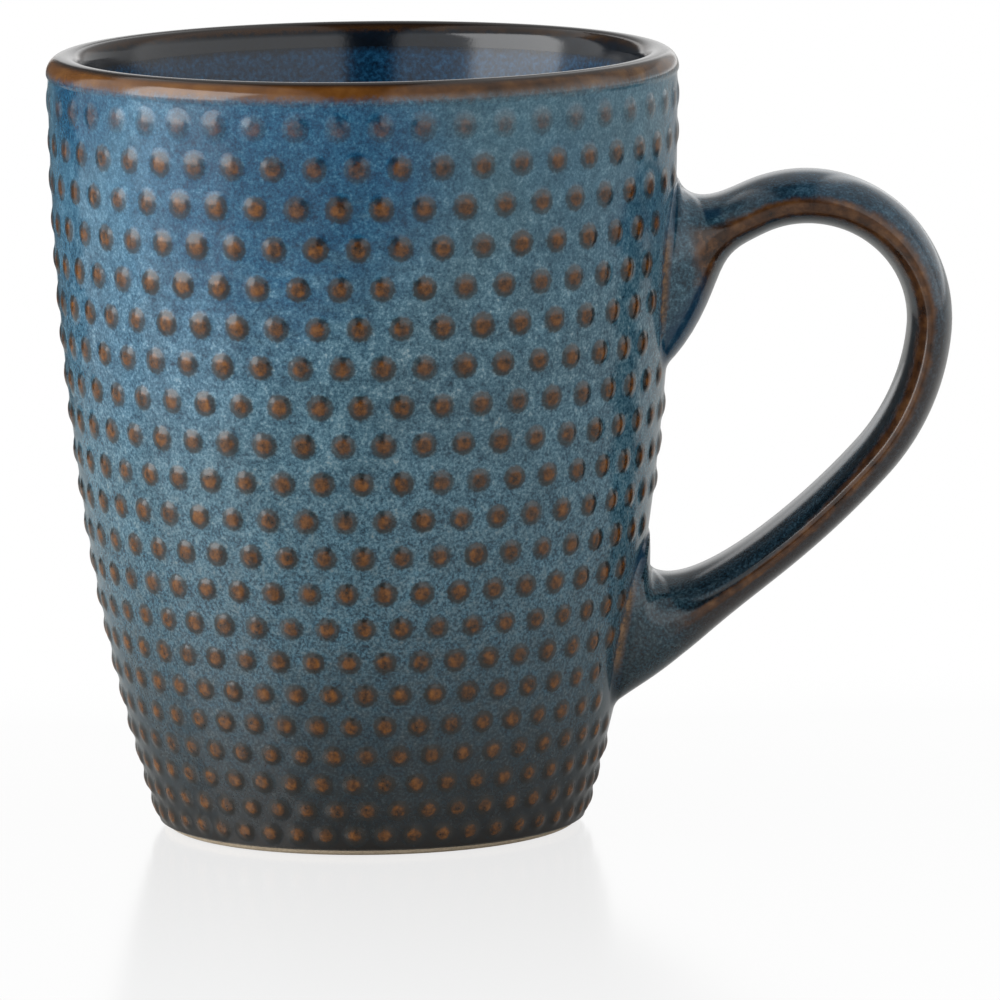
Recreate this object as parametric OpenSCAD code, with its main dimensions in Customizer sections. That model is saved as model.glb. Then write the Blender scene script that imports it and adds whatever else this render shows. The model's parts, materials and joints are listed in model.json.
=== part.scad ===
// Ceramic mug with a pulled strap handle, raised slip dots and a glaze coat over bare stoneware.
// Millimetres. The origin is the middle of the foot on the table, +Z up, handle toward +X.

/* [Cup] */
// Height from the table to the top of the lip
cup_h = 111; // [108:0.5:114]
// Diameter over the lip
lip_d = 90; // [87:0.5:93]
// Thickness of the rounded lip, glaze included
lip_t = 5.2; // [5:0.1:6]
// How much the wall thickens, toward the inside, as it leaves the lip
wall_swell = 1.5; // [1.2:0.1:1.8]
// Side-view radius of the long, gentle bow of the upper wall
bow_upper = 463; // [450:1:480]
// Side-view radius of the tighter bow of the lower wall
bow_lower = 273; // [265:1:285]
// Height where the two bows run into each other
bow_join = 47; // [44:0.5:50]

/* [Floor and foot] */
// Thickness of the clay floor
floor_t = 5; // [4.5:0.1:6]
// Radius where the inner wall turns into the floor
inner_corner = 14; // [11:0.5:16]
// Rounding of the outer edge of the foot
foot_round = 2.2; // [2:0.1:2.6]
// Width of the flat ring the mug stands on
foot_ring_w = 4.5; // [4:0.1:6]
// Depth of the hollow under the floor
foot_hollow = 1.5; // [1.2:0.1:2]

/* [Glaze] */
// Thickness of the outer glaze coat
glaze_t = 0.45; // [0.4:0.05:0.6]
// Thickness of the glaze inside the cup
liner_t = 0.4; // [0.3:0.05:0.5]
// How far the lip coat stands proud of the wall below it
lip_proud = 0.25; // [0.2:0.05:0.35]
// Depth of the lip coat, measured from the top of the lip
lip_band = 3.4; // [3.2:0.1:4.5]
// Thickness of the glaze coat on the handle
handle_glaze_t = 0.35; // [0.3:0.05:0.5]

/* [Dots] */
// Rows of dots from the lip to the foot
dot_rows = 21; // [18:1:22]
// Dots in each row
dots_in_row = 47; // [40:1:48]
// Diameter of a dot on the widest part of the wall
dot_d = 3.5; // [3:0.1:3.6]
// Height of a dot over the wall
dot_h = 0.5; // [0.4:0.05:0.6]

/* [Handle] */
// How far the handle reaches out past the lip
handle_out = 38.6; // [37:0.2:40]
// Depth of the top of the handle below the top of the lip
handle_drop = 17.7; // [16.5:0.1:19]
// Width of the strap across the grip
strap_w = 19.2; // [18:0.2:21]
// Thickness of the strap over its crown
crown_t = 7.6; // [7.3:0.1:8]
// Thickness of the strap at the back of the grip
grip_t = 6.4; // [6.1:0.1:6.9]
// Thickness of the lower arm of the strap
arm_t = 6.7; // [6.4:0.1:7.1]
// Width of the pads where the handle meets the wall
pad_w = 24; // [22.5:0.5:25]

/* [Hidden] */
$fn = 96;

clay = "#b9a88f";
blue = "#5b7183";
blue_dark = "#43586b";
brown = "#8a5a35";
dot_brown = "#7d5538";

function unit(a) = [cos(a), sin(a)];
function arc(c, r, a0, a1, n) = [for (i = [0:n]) c + r * unit(a0 + (a1 - a0) * i / n)];
function ease(x) = let (t = max(0, min(1, x))) t * t * (3 - 2 * t);
function fade(d, reach, power) = exp(-pow(d / reach, power));
function backwards(p) = [for (i = [len(p) - 1:-1:0]) p[i]];
// Joins runs of points into one outline and drops each point that repeats the next one.
function outline(runs) =
    let (p = [for (run = runs) for (q = run) q])
    [for (i = [0:len(p) - 1]) if (norm(p[i] - p[(i + 1) % len(p)]) > 0.001) p[i]];

// Lip: a full round. The wall runs into it upright, at the height of its middle.
lip_r = lip_t / 2;
lip_c = [lip_d / 2 - lip_r, cup_h - lip_r];
lip_coat = glaze_t + lip_proud;
lip_clay_r = lip_r - lip_coat;
clay_t = 2 * lip_clay_r;
inner_clay = glaze_t + clay_t;
inner_face = inner_clay + liner_t;

// Wall: two bows that share a tangent. a is the slope of the wall's normal, d the depth under the glaze.
wall_top_r = lip_d / 2 - lip_proud;
upper_c = [wall_top_r - bow_upper, lip_c[1]];
join_a = -asin((lip_c[1] - bow_join) / bow_upper);
lower_c = upper_c + (bow_upper - bow_lower) * unit(join_a);
function wall_at(a, d) =
    a > join_a ? upper_c + (bow_upper - d) * unit(a) : lower_c + (bow_lower - d) * unit(a);
function wall_slope(z, d) =
    z > bow_join ? asin((z - upper_c[1]) / (bow_upper - d)) : asin((z - lower_c[1]) / (bow_lower - d));
function wall_r(z) = wall_at(wall_slope(z, 0), 0)[0];
wall_steps = 30;
function wall(a0, a1, d, n = wall_steps) = [for (i = [0:n]) wall_at(a0 + (a1 - a0) * i / n, d)];

// Foot: the clay turns under to the table; the glaze follows it and stops short of the bare edge.
foot_reach = bow_lower - glaze_t - foot_round;
foot_a = asin((foot_round - lower_c[1]) / foot_reach);
foot_c = lower_c + foot_reach * unit(foot_a);
glaze_end_a = -30;
ring_in_r = foot_c[0] - foot_ring_w;
ring_edge = 0.8;

// Inside: the face leaves the round of the lip at a lean and eases into the full thickness of the wall.
lip_lean_a = 9;
lip_end_a = 180 - lip_lean_a;
band_z = cup_h - lip_band;
band_out_a = wall_slope(band_z, glaze_t);
band_in_a = wall_slope(band_z, inner_clay);
lip_end = lip_c + lip_r * unit(lip_end_a);
lip_step = wall_at(band_in_a, inner_face)[0] - lip_end[0] + (lip_end[1] - band_z) * tan(lip_lean_a);
swell_depth = wall_swell * PI / 2 / tan(lip_lean_a);
swell_end_a = wall_slope(band_z - swell_depth, inner_clay);
function thicker(z) = lip_step + wall_swell * sin(90 * max(0, min(1, (band_z - z) / swell_depth)));
function inner_at(a, d) = let (p = wall_at(a, d)) p - [thicker(p[1]), 0];
function inner_run(a0, a1, d, n) = [for (i = [0:n]) inner_at(a0 + (a1 - a0) * i / n, d)];
function inner_wall(d) = concat(
    inner_run(band_in_a, swell_end_a, d, 8),
    inner_run(swell_end_a, corner_a, d, wall_steps)
);

// Inside corner: touches the inner wall and the floor.
floor_z = foot_hollow + floor_t;
corner_r = inner_corner + liner_t;
corner_reach = bow_lower - inner_clay - corner_r;
corner_a = asin((floor_z + corner_r - lower_c[1]) / corner_reach);
corner_c = lower_c + corner_reach * unit(corner_a) - [lip_step + wall_swell, 0];

module cup_profile() {
    polygon(outline([
        [[ring_in_r, 0]],
        arc(foot_c, foot_round, -90, foot_a, 12),
        wall(foot_a, band_out_a, glaze_t),
        wall(band_out_a, 0, glaze_t, 2),
        arc(lip_c, lip_clay_r, 0, 180, 24),
        inner_wall(inner_clay),
        arc(corner_c, corner_r, corner_a, -90, 18),
        [[0, floor_z], [0, foot_hollow], [ring_in_r - 2 * ring_edge, foot_hollow]],
        arc([ring_in_r, ring_edge], ring_edge, 180, 270, 5)
    ]));
}

module outer_glaze_profile() {
    polygon(outline([
        wall(foot_a, band_out_a, glaze_t),
        wall(band_out_a, foot_a, 0),
        arc(foot_c, foot_round + glaze_t, foot_a, glaze_end_a, 4),
        arc(foot_c, foot_round, glaze_end_a, foot_a, 4)
    ]));
}

module liner_profile() {
    polygon(outline([
        inner_wall(inner_clay),
        arc(corner_c, corner_r, corner_a, -90, 18),
        [[0, floor_z], [0, floor_z + liner_t]],
        arc(corner_c, inner_corner, -90, corner_a, 18),
        backwards(inner_wall(inner_face))
    ]));
}

// Outside, the lip coat swells from the depth of the glaze below it to its full thickness over the lip.
swell_steps = 5;
function swell(a0, d0, d1) = [
    for (i = [0:swell_steps])
        wall_at(a0 * (1 - i / swell_steps), d0 + (d1 - d0) * sin(90 * i / swell_steps))
];

module rim_profile() {
    polygon(outline([
        swell(band_out_a, 0, -lip_proud),
        arc(lip_c, lip_r, 0, lip_end_a, 32),
        [inner_at(band_in_a, inner_face), inner_at(band_in_a, inner_clay)],
        arc(lip_c, lip_clay_r, 180, 0, 24),
        wall(0, band_out_a, glaze_t, 2)
    ]));
}

// Everything inside the glazed face of the wall, used to seat the handle on it
module wall_body() {
    rotate_extrude()
        polygon(outline([
            wall(foot_a, band_out_a, 0),
            [[0, band_z], [0, wall_at(foot_a, 0)[1]]]
        ]));
}

// Handle: the middle line of the strap is a chain of arcs that share tangents, in the plane y = 0.
crown_r = 17.6;
back_r = 31.9;
arm_r = 112.4;
neck_r = 159;
tail_r = 59.8;
neck_a = 114.9;
back_a = -6.1;
arm_a = -42.7;
tail_a = -61.3;
crown_c = [lip_d / 2 + handle_out - grip_t / 2 - crown_r, cup_h - handle_drop - crown_t / 2 - crown_r];
back_c = crown_c + (crown_r - back_r) * unit(back_a);
arm_c = back_c + (back_r - arm_r) * unit(arm_a);
neck_c = crown_c + (crown_r - neck_r) * unit(neck_a);
tail_c = arm_c + (arm_r + tail_r) * unit(tail_a);

// The pads lie on the wall, the upper one over the middle of the crown and the lower one far under it.
// Each is sunk a little into the wall, and the strap runs on inside it so that the wall can cut it.
upper_pad_rise = 7.8;
lower_pad_fall = 46.7;
upper_pad_sink = 0.7;
lower_pad_sink = 0.3;
run_in = 6;
upper_pad_z = crown_c[1] + upper_pad_rise;
lower_pad_z = crown_c[1] - lower_pad_fall;
upper_pad_x = wall_r(upper_pad_z) - upper_pad_sink;
lower_pad_x = wall_r(lower_pad_z) - lower_pad_sink;
upper_lean = 90 + wall_slope(upper_pad_z, 0);
lower_lean = wall_slope(lower_pad_z, 0) - 90;
neck_end_a = 180 - acos((neck_c[0] - upper_pad_x) / neck_r);
tail_end_a = -acos((tail_c[0] - lower_pad_x) / tail_r);

// One row for each arc: its middle, its radius, where it starts and ends, and how many steps it takes.
// A minus radius is an arc that bends the other way.
chain = [
    [neck_c, neck_r, neck_end_a, neck_a, 9],
    [crown_c, crown_r, neck_a, back_a, 14],
    [back_c, back_r, back_a, arm_a, 6],
    [arm_c, arm_r, arm_a, tail_a, 9],
    [tail_c, -tail_r, tail_a, tail_end_a, 12]
];
function span(link) = abs((link[3] - link[2]) * link[1]) * PI / 180;
function reach_of(k) = k == 0 ? 0 : reach_of(k - 1) + span(chain[k - 1]);
strap_l = reach_of(len(chain));
function station(link, k, i) =
    let (a = link[2] + (link[3] - link[2]) * i / link[4])
    [link[0] + link[1] * unit(a), a, reach_of(k) + span(link) * i / link[4]];
stations = concat(
    [for (k = [0:len(chain) - 1]) for (i = [0:chain[k][4] - 1]) station(chain[k], k, i)],
    [station(chain[4], 4, chain[4][4])]
);

// Half thickness of the strap along the chain, before the pads flare out of it
function half_strap(a, s) =
    s > strap_l / 2
        ? (grip_t + (arm_t - grip_t) * ease((arm_a - a) / 16)) / 2
        : (grip_t + (crown_t - grip_t) * ease((a - back_a) / 96)) / 2;

// Flares from the strap to the pads, outward and inward, with the distance over which each one fades.
// The lower pad also has a fillet of slip in the corner over it.
upper_flare_out = 6.5;
upper_flare_in = 12.4;
lower_flare_out = 4.65;
lower_flare_in = 5.9;
lower_fillet = 7.7;
upper_out_reach = 5.8;
upper_in_reach = 4.64;
lower_out_reach = 9.8;
lower_in_reach = 9.6;
fillet_reach = 2.5;
upper_wide_reach = 5;
lower_wide_reach = 7;
upper_lean_reach = 5.25;
lower_lean_reach = 7.87;
lower_power = 1.53;

// How far a station is along the widening of the pads, from 0 on the strap to 1 at a pad
function pad_share(up, down) = fade(up, upper_wide_reach, 2) + fade(down, lower_wide_reach, 2);

// Size of the section at one station: [outward half, inward half, half width, lean, nearness to a pad]
function section(st) =
    let (
        a = st[1],
        up = st[2],
        down = strap_l - st[2],
        half = half_strap(down < span(chain[4]) ? tail_a : a, st[2])
    )
    [
        half + upper_flare_out * fade(up, upper_out_reach, 2)
            + lower_flare_out * fade(down, lower_out_reach, lower_power),
        half + upper_flare_in * fade(up, upper_in_reach, 2)
            + lower_flare_in * fade(down, lower_in_reach, lower_power)
            + lower_fillet * fade(down, fillet_reach, 1),
        strap_w / 2 + (pad_w - strap_w) / 2 * pad_share(up, down),
        a + (upper_lean - a) * fade(up, upper_lean_reach, 2)
            + (lower_lean - a) * fade(down, lower_lean_reach, 2),
        pad_share(up, down)
    ];

// A flattened round, n points, half sizes w and h. It is close to an ellipse on the strap, and the pads
// have firmer edges.
strap_firmness = 2.1;
pad_firmness = 2.7;
function firm(v, firmness) = sign(v) * pow(abs(v), 2 / firmness);
function flat_round(w, h, n, firmness) = [
    for (i = [0:n - 1]) [w * firm(cos(360 * i / n), firmness), h * firm(sin(360 * i / n), firmness)]
];

ring_n = 16;
function ring(st, inset, shift) =
    let (
        size = section(st),
        across = unit(size[3]),
        mid = st[0] + across * (size[0] - size[1]) / 2 - [shift, 0],
        firmness = strap_firmness + (pad_firmness - strap_firmness) * size[4],
        loop = flat_round(size[2] - inset, (size[0] + size[1]) / 2 - inset, ring_n, firmness)
    )
    [for (q = loop) [mid[0] + across[0] * q[1], q[0], mid[1] + across[1] * q[1]]];

// The strap as one skin, set in by the depth of its glaze and run on into the wall by the given depth
module strap(inset, into_wall) {
    last = len(stations) - 1;
    rings = concat(
        [ring(stations[0], inset, into_wall)],
        [for (st = stations) ring(st, inset, 0)],
        [ring(stations[last], inset, into_wall)]
    );
    n = ring_n;
    polyhedron(
        points = [for (r = rings) for (p = r) p],
        faces = concat(
            [[for (i = [0:n - 1]) i]],
            [for (k = [0:len(rings) - 2]) for (i = [0:n - 1])
                [k * n + i, (k + 1) * n + i, k * n + (i + 1) % n]],
            [for (k = [0:len(rings) - 2]) for (i = [0:n - 1])
                [(k + 1) * n + i, (k + 1) * n + (i + 1) % n, k * n + (i + 1) % n]],
            [[for (i = [n - 1:-1:0]) (len(rings) - 1) * n + i]]
        ),
        convexity = 6
    );
}

// Outline of the slip under a pad, seen along X: the pad and the bead of slip pressed out round it
bead = 0.6;
function pad_size(st) = let (size = section(st)) [size[2] + bead, (size[0] + size[1]) / 2 + bead];
function pad_mid(st) = let (size = section(st)) st[0][1] + sin(size[3]) * (size[0] - size[1]) / 2;
upper_st = stations[0];
lower_st = stations[len(stations) - 1];
module footprint(st) {
    size = pad_size(st);
    translate([0, 0, pad_mid(st)])
        rotate([90, 0, 90])
            linear_extrude(height = lip_d)
                polygon(flat_round(size[0], size[1], 28, pad_firmness));
}

module glaze_shell() {
    rotate_extrude()
        outer_glaze_profile();
}

// Rows of dots close up toward the foot, and the dots shrink with the girth of the wall.
top_row_drop = 6.35;
top_row_z = cup_h - top_row_drop;
low_row_z = 3.3;
last_row = dot_rows - 1;
close_up = 0.098;
function row_steps(k) = k - close_up * last_row * pow(k / last_row, 3.8);
function row_z(k) = top_row_z - (top_row_z - low_row_z) * row_steps(k) / row_steps(last_row);
function dot_r(z) = dot_d / 2 * sqrt(wall_r(z) / wall_top_r);
function dot_rise(k) = dot_h * (0.6 + 0.4 * ease(k / 6));
first_dot_a = -86.9;
stagger = 0.44;
dot_gap = 0.3;

// True where a dot stands clear of a pad and its bead
function clear_of(st, y, z) =
    let (size = pad_size(st), room = dot_d / 2 + dot_gap, f = pad_firmness)
    pow(abs(y) / (size[0] + room), f) + pow(abs(z - pad_mid(st)) / (size[1] + room), f) > 1;
function dot_fits(r, z, a) =
    cos(a) < 0 || (clear_of(upper_st, r * sin(a), z) && clear_of(lower_st, r * sin(a), z));

module cup_body() {
    color(clay)
        rotate_extrude()
            cup_profile();
}

module outer_glaze() {
    color(blue)
        difference() {
            glaze_shell();
            footprint(upper_st);
            footprint(lower_st);
        }
}

module upper_joint_slip() {
    color(clay)
        intersection() {
            glaze_shell();
            footprint(upper_st);
        }
}

module lower_joint_slip() {
    color(clay)
        intersection() {
            glaze_shell();
            footprint(lower_st);
        }
}

module liner_glaze() {
    color(blue_dark)
        rotate_extrude()
            liner_profile();
}

module rim_glaze() {
    color(brown)
        rotate_extrude()
            rim_profile();
}

module handle() {
    color(clay)
        difference() {
            strap(handle_glaze_t, run_in + 1);
            wall_body();
        }
}

module handle_glaze() {
    color(blue)
        difference() {
            strap(0, run_in);
            strap(handle_glaze_t, run_in + 1);
            wall_body();
        }
}

module slip_dots() {
    color(dot_brown)
        for (k = [0:last_row]) {
            z = row_z(k);
            r = wall_r(z);
            for (j = [0:dots_in_row - 1]) {
                a = first_dot_a + (j + (k % 2) * stagger) * 360 / dots_in_row;
                if (dot_fits(r, z, a))
                    rotate([0, 0, a])
                        translate([r, 0, z])
                            rotate([0, 90 - wall_slope(z, 0), 0])
                                cylinder(h = dot_rise(k), r1 = dot_r(z), r2 = 0.55 * dot_r(z), $fn = 24);
            }
        }
}

cup_body();
handle();
upper_joint_slip();
lower_joint_slip();
slip_dots();
outer_glaze();
liner_glaze();
rim_glaze();
handle_glaze();
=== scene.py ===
"""Ceramic mug: thrown stoneware cup with a strap handle, raised slip dots and a mottled reactive glaze."""
import json
import math
import random

import bpy
from mathutils import Matrix, Vector

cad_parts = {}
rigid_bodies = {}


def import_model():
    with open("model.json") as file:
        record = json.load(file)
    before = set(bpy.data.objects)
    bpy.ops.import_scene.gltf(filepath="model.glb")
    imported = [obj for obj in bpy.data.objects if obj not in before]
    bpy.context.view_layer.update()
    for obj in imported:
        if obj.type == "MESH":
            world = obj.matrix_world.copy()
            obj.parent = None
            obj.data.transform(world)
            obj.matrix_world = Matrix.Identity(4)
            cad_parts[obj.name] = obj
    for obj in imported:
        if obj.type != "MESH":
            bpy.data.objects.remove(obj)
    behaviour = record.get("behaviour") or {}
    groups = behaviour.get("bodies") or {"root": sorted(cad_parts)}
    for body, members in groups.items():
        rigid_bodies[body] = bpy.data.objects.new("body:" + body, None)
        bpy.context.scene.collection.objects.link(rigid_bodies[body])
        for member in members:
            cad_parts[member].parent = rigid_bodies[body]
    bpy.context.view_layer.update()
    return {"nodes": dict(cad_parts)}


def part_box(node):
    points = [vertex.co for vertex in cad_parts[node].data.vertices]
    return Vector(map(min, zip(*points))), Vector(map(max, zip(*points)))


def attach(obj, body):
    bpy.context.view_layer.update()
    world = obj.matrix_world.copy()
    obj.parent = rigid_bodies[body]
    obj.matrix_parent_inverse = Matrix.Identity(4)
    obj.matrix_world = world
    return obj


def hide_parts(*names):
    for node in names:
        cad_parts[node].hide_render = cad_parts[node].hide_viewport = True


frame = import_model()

MM = 0.001
scene = bpy.context.scene
scene.view_settings.view_transform = "Standard"


# ---------------------------------------------------------------- sizes, in millimetres

CUP_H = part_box("rim_glaze")[1].z / MM
LIP_D = 2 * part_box("rim_glaze")[1].x / MM
LIP_T = 5.2
LIP_PROUD = 0.25
LIP_BAND = 3.4
GLAZE_T = 0.45
LINER_T = 0.4
BOW_UPPER = 463.0
BOW_LOWER = 273.0
BOW_JOIN = 47.0
FOOT_ROUND = 2.2
FOOT_HOLLOW = 1.5
FLOOR_T = 5.0
INNER_CORNER = 14.0
GLAZE_END = math.radians(-30)
SKIN = 0.05     # how far the back of a coat stays clear of the clay

LIP_R = LIP_T / 2
LIP_X = LIP_D / 2 - LIP_R
LIP_Z = CUP_H - LIP_R
LIP_CLAY_R = LIP_R - GLAZE_T - LIP_PROUD
INNER_FACE = GLAZE_T + 2 * LIP_CLAY_R + LINER_T
WALL_TOP_R = LIP_D / 2 - LIP_PROUD
BAND_Z = CUP_H - LIP_BAND
WALL_SWELL = 1.5
LIP_LEAN = math.radians(9)
SWELL_DEPTH = WALL_SWELL * math.pi / 2 / math.tan(LIP_LEAN)


def polar(length, angle):
    return Vector((length * math.cos(angle), length * math.sin(angle)))


UPPER_C = Vector((WALL_TOP_R - BOW_UPPER, LIP_Z))
JOIN_A = -math.asin((LIP_Z - BOW_JOIN) / BOW_UPPER)
LOWER_C = UPPER_C + polar(BOW_UPPER - BOW_LOWER, JOIN_A)


def wall_at(slope, depth=0.0):
    """Radius and height of the wall where its normal leans by slope, at a depth under the glaze."""
    if slope > JOIN_A:
        return UPPER_C + polar(BOW_UPPER - depth, slope)
    return LOWER_C + polar(BOW_LOWER - depth, slope)


def wall_slope(z, depth=0.0):
    if z > BOW_JOIN:
        return math.asin((z - UPPER_C.y) / (BOW_UPPER - depth))
    return math.asin((z - LOWER_C.y) / (BOW_LOWER - depth))


LIP_END = Vector((LIP_X, LIP_Z)) + polar(LIP_R, math.pi - LIP_LEAN)
BAND_IN = wall_slope(BAND_Z, INNER_FACE - LINER_T)
LIP_STEP = wall_at(BAND_IN, INNER_FACE).x - LIP_END.x + (LIP_END.y - BAND_Z) * math.tan(LIP_LEAN)


def inner_at(slope, depth):
    """The inner wall: it leaves the lip at a lean and eases into the full thickness of the wall."""
    at = wall_at(slope, depth)
    share = min(1.0, max(0.0, (BAND_Z - at.y) / SWELL_DEPTH))
    return at - Vector((LIP_STEP + WALL_SWELL * math.sin(math.pi / 2 * share), 0))


def bend(centre, radius, a0, a1, steps):
    return [centre + polar(radius, a0 + (a1 - a0) * i / steps) for i in range(steps + 1)]


def smooth(x):
    """Eases from 0 to 1 as x goes from 0 to 1."""
    t = min(1.0, max(0.0, x))
    return t * t * (3 - 2 * t)


def fade(distance, reach, power):
    """1 at a pad, easing to nothing beyond a reach along the strap."""
    return math.exp(-((distance / reach) ** power))


# ---------------------------------------------------------------- handle, as a chain of arcs

HANDLE_OUT = 38.6
HANDLE_DROP = 17.7
STRAP_W = 19.2
CROWN_T = 7.6
GRIP_T = 6.4
ARM_T = 6.7
PAD_W = 24.0
STRAP_FIRM, PAD_FIRM = 2.1, 2.7
CROWN_R, BACK_R, ARM_R, NECK_R, TAIL_R = 17.6, 31.9, 112.4, 159.0, 59.8
NECK_A, BACK_A, ARM_A, TAIL_A = (math.radians(a) for a in (114.9, -6.1, -42.7, -61.3))
PAD_ABOVE, PAD_BELOW = 7.8, 46.7        # the pads' middles, above and below the middle of the crown
UPPER_SUNK, LOWER_SUNK = 0.7, 0.3       # how far each pad goes into the wall
CROWN_EASE, ARM_EASE = math.radians(96), math.radians(16)

# How far each face of a pad flares beyond the strap, the reach of the flare and its power
UPPER_OUT, LOWER_OUT = (6.5, 5.8, 2), (4.65, 9.8, 1.53)
UPPER_IN, LOWER_IN, LOWER_HEEL = (12.4, 4.64, 2), (5.9, 9.6, 1.53), (7.7, 2.5, 1)
# The reach and power with which the strap widens, and turns square to the wall, at each pad
UPPER_WIDEN, LOWER_WIDEN = (5, 2), (7, 2)
UPPER_TURN, LOWER_TURN = (5.25, 2), (7.87, 2)

CROWN_C = Vector((LIP_D / 2 + HANDLE_OUT - GRIP_T / 2 - CROWN_R,
                  CUP_H - HANDLE_DROP - CROWN_T / 2 - CROWN_R))
BACK_C = CROWN_C + polar(CROWN_R - BACK_R, BACK_A)
ARM_C = BACK_C + polar(BACK_R - ARM_R, ARM_A)
NECK_C = CROWN_C + polar(CROWN_R - NECK_R, NECK_A)
TAIL_C = ARM_C + polar(ARM_R + TAIL_R, TAIL_A)
UPPER_PAD_Z = CROWN_C.y + PAD_ABOVE
LOWER_PAD_Z = CROWN_C.y - PAD_BELOW
UPPER_PAD_X = wall_at(wall_slope(UPPER_PAD_Z)).x - UPPER_SUNK
LOWER_PAD_X = wall_at(wall_slope(LOWER_PAD_Z)).x - LOWER_SUNK
UPPER_LEAN = math.pi / 2 + wall_slope(UPPER_PAD_Z)
LOWER_LEAN = wall_slope(LOWER_PAD_Z) - math.pi / 2
NECK_END = math.pi - math.acos((NECK_C.x - UPPER_PAD_X) / NECK_R)
TAIL_END = -math.acos((TAIL_C.x - LOWER_PAD_X) / TAIL_R)
CHAIN = [
    (NECK_C, NECK_R, NECK_END, NECK_A),
    (CROWN_C, CROWN_R, NECK_A, BACK_A),
    (BACK_C, BACK_R, BACK_A, ARM_A),
    (ARM_C, ARM_R, ARM_A, TAIL_A),
    (TAIL_C, -TAIL_R, TAIL_A, TAIL_END),
]
SPANS = [abs((a1 - a0) * r) for c, r, a0, a1 in CHAIN]
STRAP_L = sum(SPANS)


def station(s):
    """Middle of the strap and the lean of its section, at a distance s from the upper pad."""
    for (c, r, a0, a1), span in zip(CHAIN, SPANS):
        if s <= span:
            a = a0 + (a1 - a0) * s / span
            return c + polar(r, a), a
        s -= span
    c, r, a0, a1 = CHAIN[-1]
    return c + polar(r, a1), a1


def flare(distance, extra, reach, power):
    return extra * fade(distance, reach, power)


def section(s):
    """Middle of the strap, its outward half, inward half and half width, and its lean and firmness."""
    point, a = station(s)
    up, down = s, STRAP_L - s
    if s > STRAP_L / 2:
        turn = TAIL_A if down < SPANS[-1] else a
        half = (GRIP_T + (ARM_T - GRIP_T) * smooth((ARM_A - turn) / ARM_EASE)) / 2
    else:
        half = (GRIP_T + (CROWN_T - GRIP_T) * smooth((a - BACK_A) / CROWN_EASE)) / 2
    out = half + flare(up, *UPPER_OUT) + flare(down, *LOWER_OUT)
    inward = half + flare(up, *UPPER_IN) + flare(down, *LOWER_IN) + flare(down, *LOWER_HEEL)
    near_pad = fade(up, *UPPER_WIDEN) + fade(down, *LOWER_WIDEN)
    wide = STRAP_W / 2 + (PAD_W - STRAP_W) / 2 * near_pad
    lean = a + (UPPER_LEAN - a) * fade(up, *UPPER_TURN) + (LOWER_LEAN - a) * fade(down, *LOWER_TURN)
    return point, out, inward, wide, lean, STRAP_FIRM + (PAD_FIRM - STRAP_FIRM) * near_pad


# ---------------------------------------------------------------- making pieces

ROUND_SIDES = 256
TIP_R = 0.002           # a ring drawn in to the axis stops here and is then welded shut
TURNED_WELD = 0.008
SKIN_WELD = 0.002
TURNED_EDGE, STRAP_EDGE, BEAD_EDGE = 32, 40, 60     # in degrees: edges sharper than this stay sharp


def turned(name, outline):
    """Throws a round piece: a ring is drawn up through each radius and height of a closed outline."""
    bpy.ops.object.select_all(action="DESELECT")
    outline = [(max(r, TIP_R) * MM, z * MM) for r, z in outline]
    r, z = outline[0]
    bpy.ops.mesh.primitive_circle_add(vertices=ROUND_SIDES, radius=r, location=(0, 0, z))
    piece = bpy.context.object
    piece.name = piece.data.name = name
    bpy.ops.object.transform_apply(location=True)
    bpy.ops.object.mode_set(mode="EDIT")
    bpy.ops.mesh.select_all(action="SELECT")
    for r1, z1 in outline[1:] + outline[:1]:
        bpy.ops.mesh.extrude_edges_move(TRANSFORM_OT_translate={"value": (0, 0, z1 - z)})
        bpy.ops.transform.resize(value=(r1 / r, r1 / r, 1), center_override=(0, 0, z1))
        r, z = r1, z1
    bpy.ops.mesh.select_all(action="SELECT")
    bpy.ops.mesh.remove_doubles(threshold=TURNED_WELD * MM)
    bpy.ops.mesh.normals_make_consistent(inside=False)
    bpy.ops.object.mode_set(mode="OBJECT")
    bpy.ops.object.shade_smooth_by_angle(angle=math.radians(TURNED_EDGE))
    return piece


def skinned(name, rings, looped=False):
    """Lays a grid over rings of points (mm), seam on seam; looped brings the last ring to the first."""
    if looped:
        rings = rings + rings[:1]
    n = len(rings[0])
    bpy.ops.object.select_all(action="DESELECT")
    bpy.ops.mesh.primitive_grid_add(x_subdivisions=n, y_subdivisions=len(rings) - 1)
    piece = bpy.context.object
    piece.name = piece.data.name = name
    for vertex in piece.data.vertices:
        k, i = divmod(vertex.index, n + 1)
        vertex.co = [v * MM for v in rings[k][i % n]]
    return piece


def sealed(piece, edge, open_ends):
    """Closes the seam, and any open ends, turns the faces outward and smooths all but the sharp edges."""
    bpy.ops.object.mode_set(mode="EDIT")
    bpy.ops.mesh.select_all(action="SELECT")
    bpy.ops.mesh.remove_doubles(threshold=SKIN_WELD * MM)
    if open_ends:
        bpy.ops.mesh.select_all(action="DESELECT")
        bpy.ops.mesh.select_non_manifold()
        bpy.ops.mesh.fill()
        bpy.ops.mesh.select_all(action="SELECT")
    bpy.ops.mesh.normals_make_consistent(inside=False)
    bpy.ops.object.mode_set(mode="OBJECT")
    bpy.ops.object.shade_smooth_by_angle(angle=math.radians(edge))
    return piece


def write_numbers(piece, **numbers):
    """Stores a number at each vertex, for the glaze to read."""
    for name, values in numbers.items():
        piece.data.attributes.new(name, "FLOAT", "POINT").data.foreach_set("value", values)


def finished(piece, slot, *replaced):
    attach(piece, "root")
    if replaced:
        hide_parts(*replaced)
    return piece


# ---------------------------------------------------------------- materials

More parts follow.
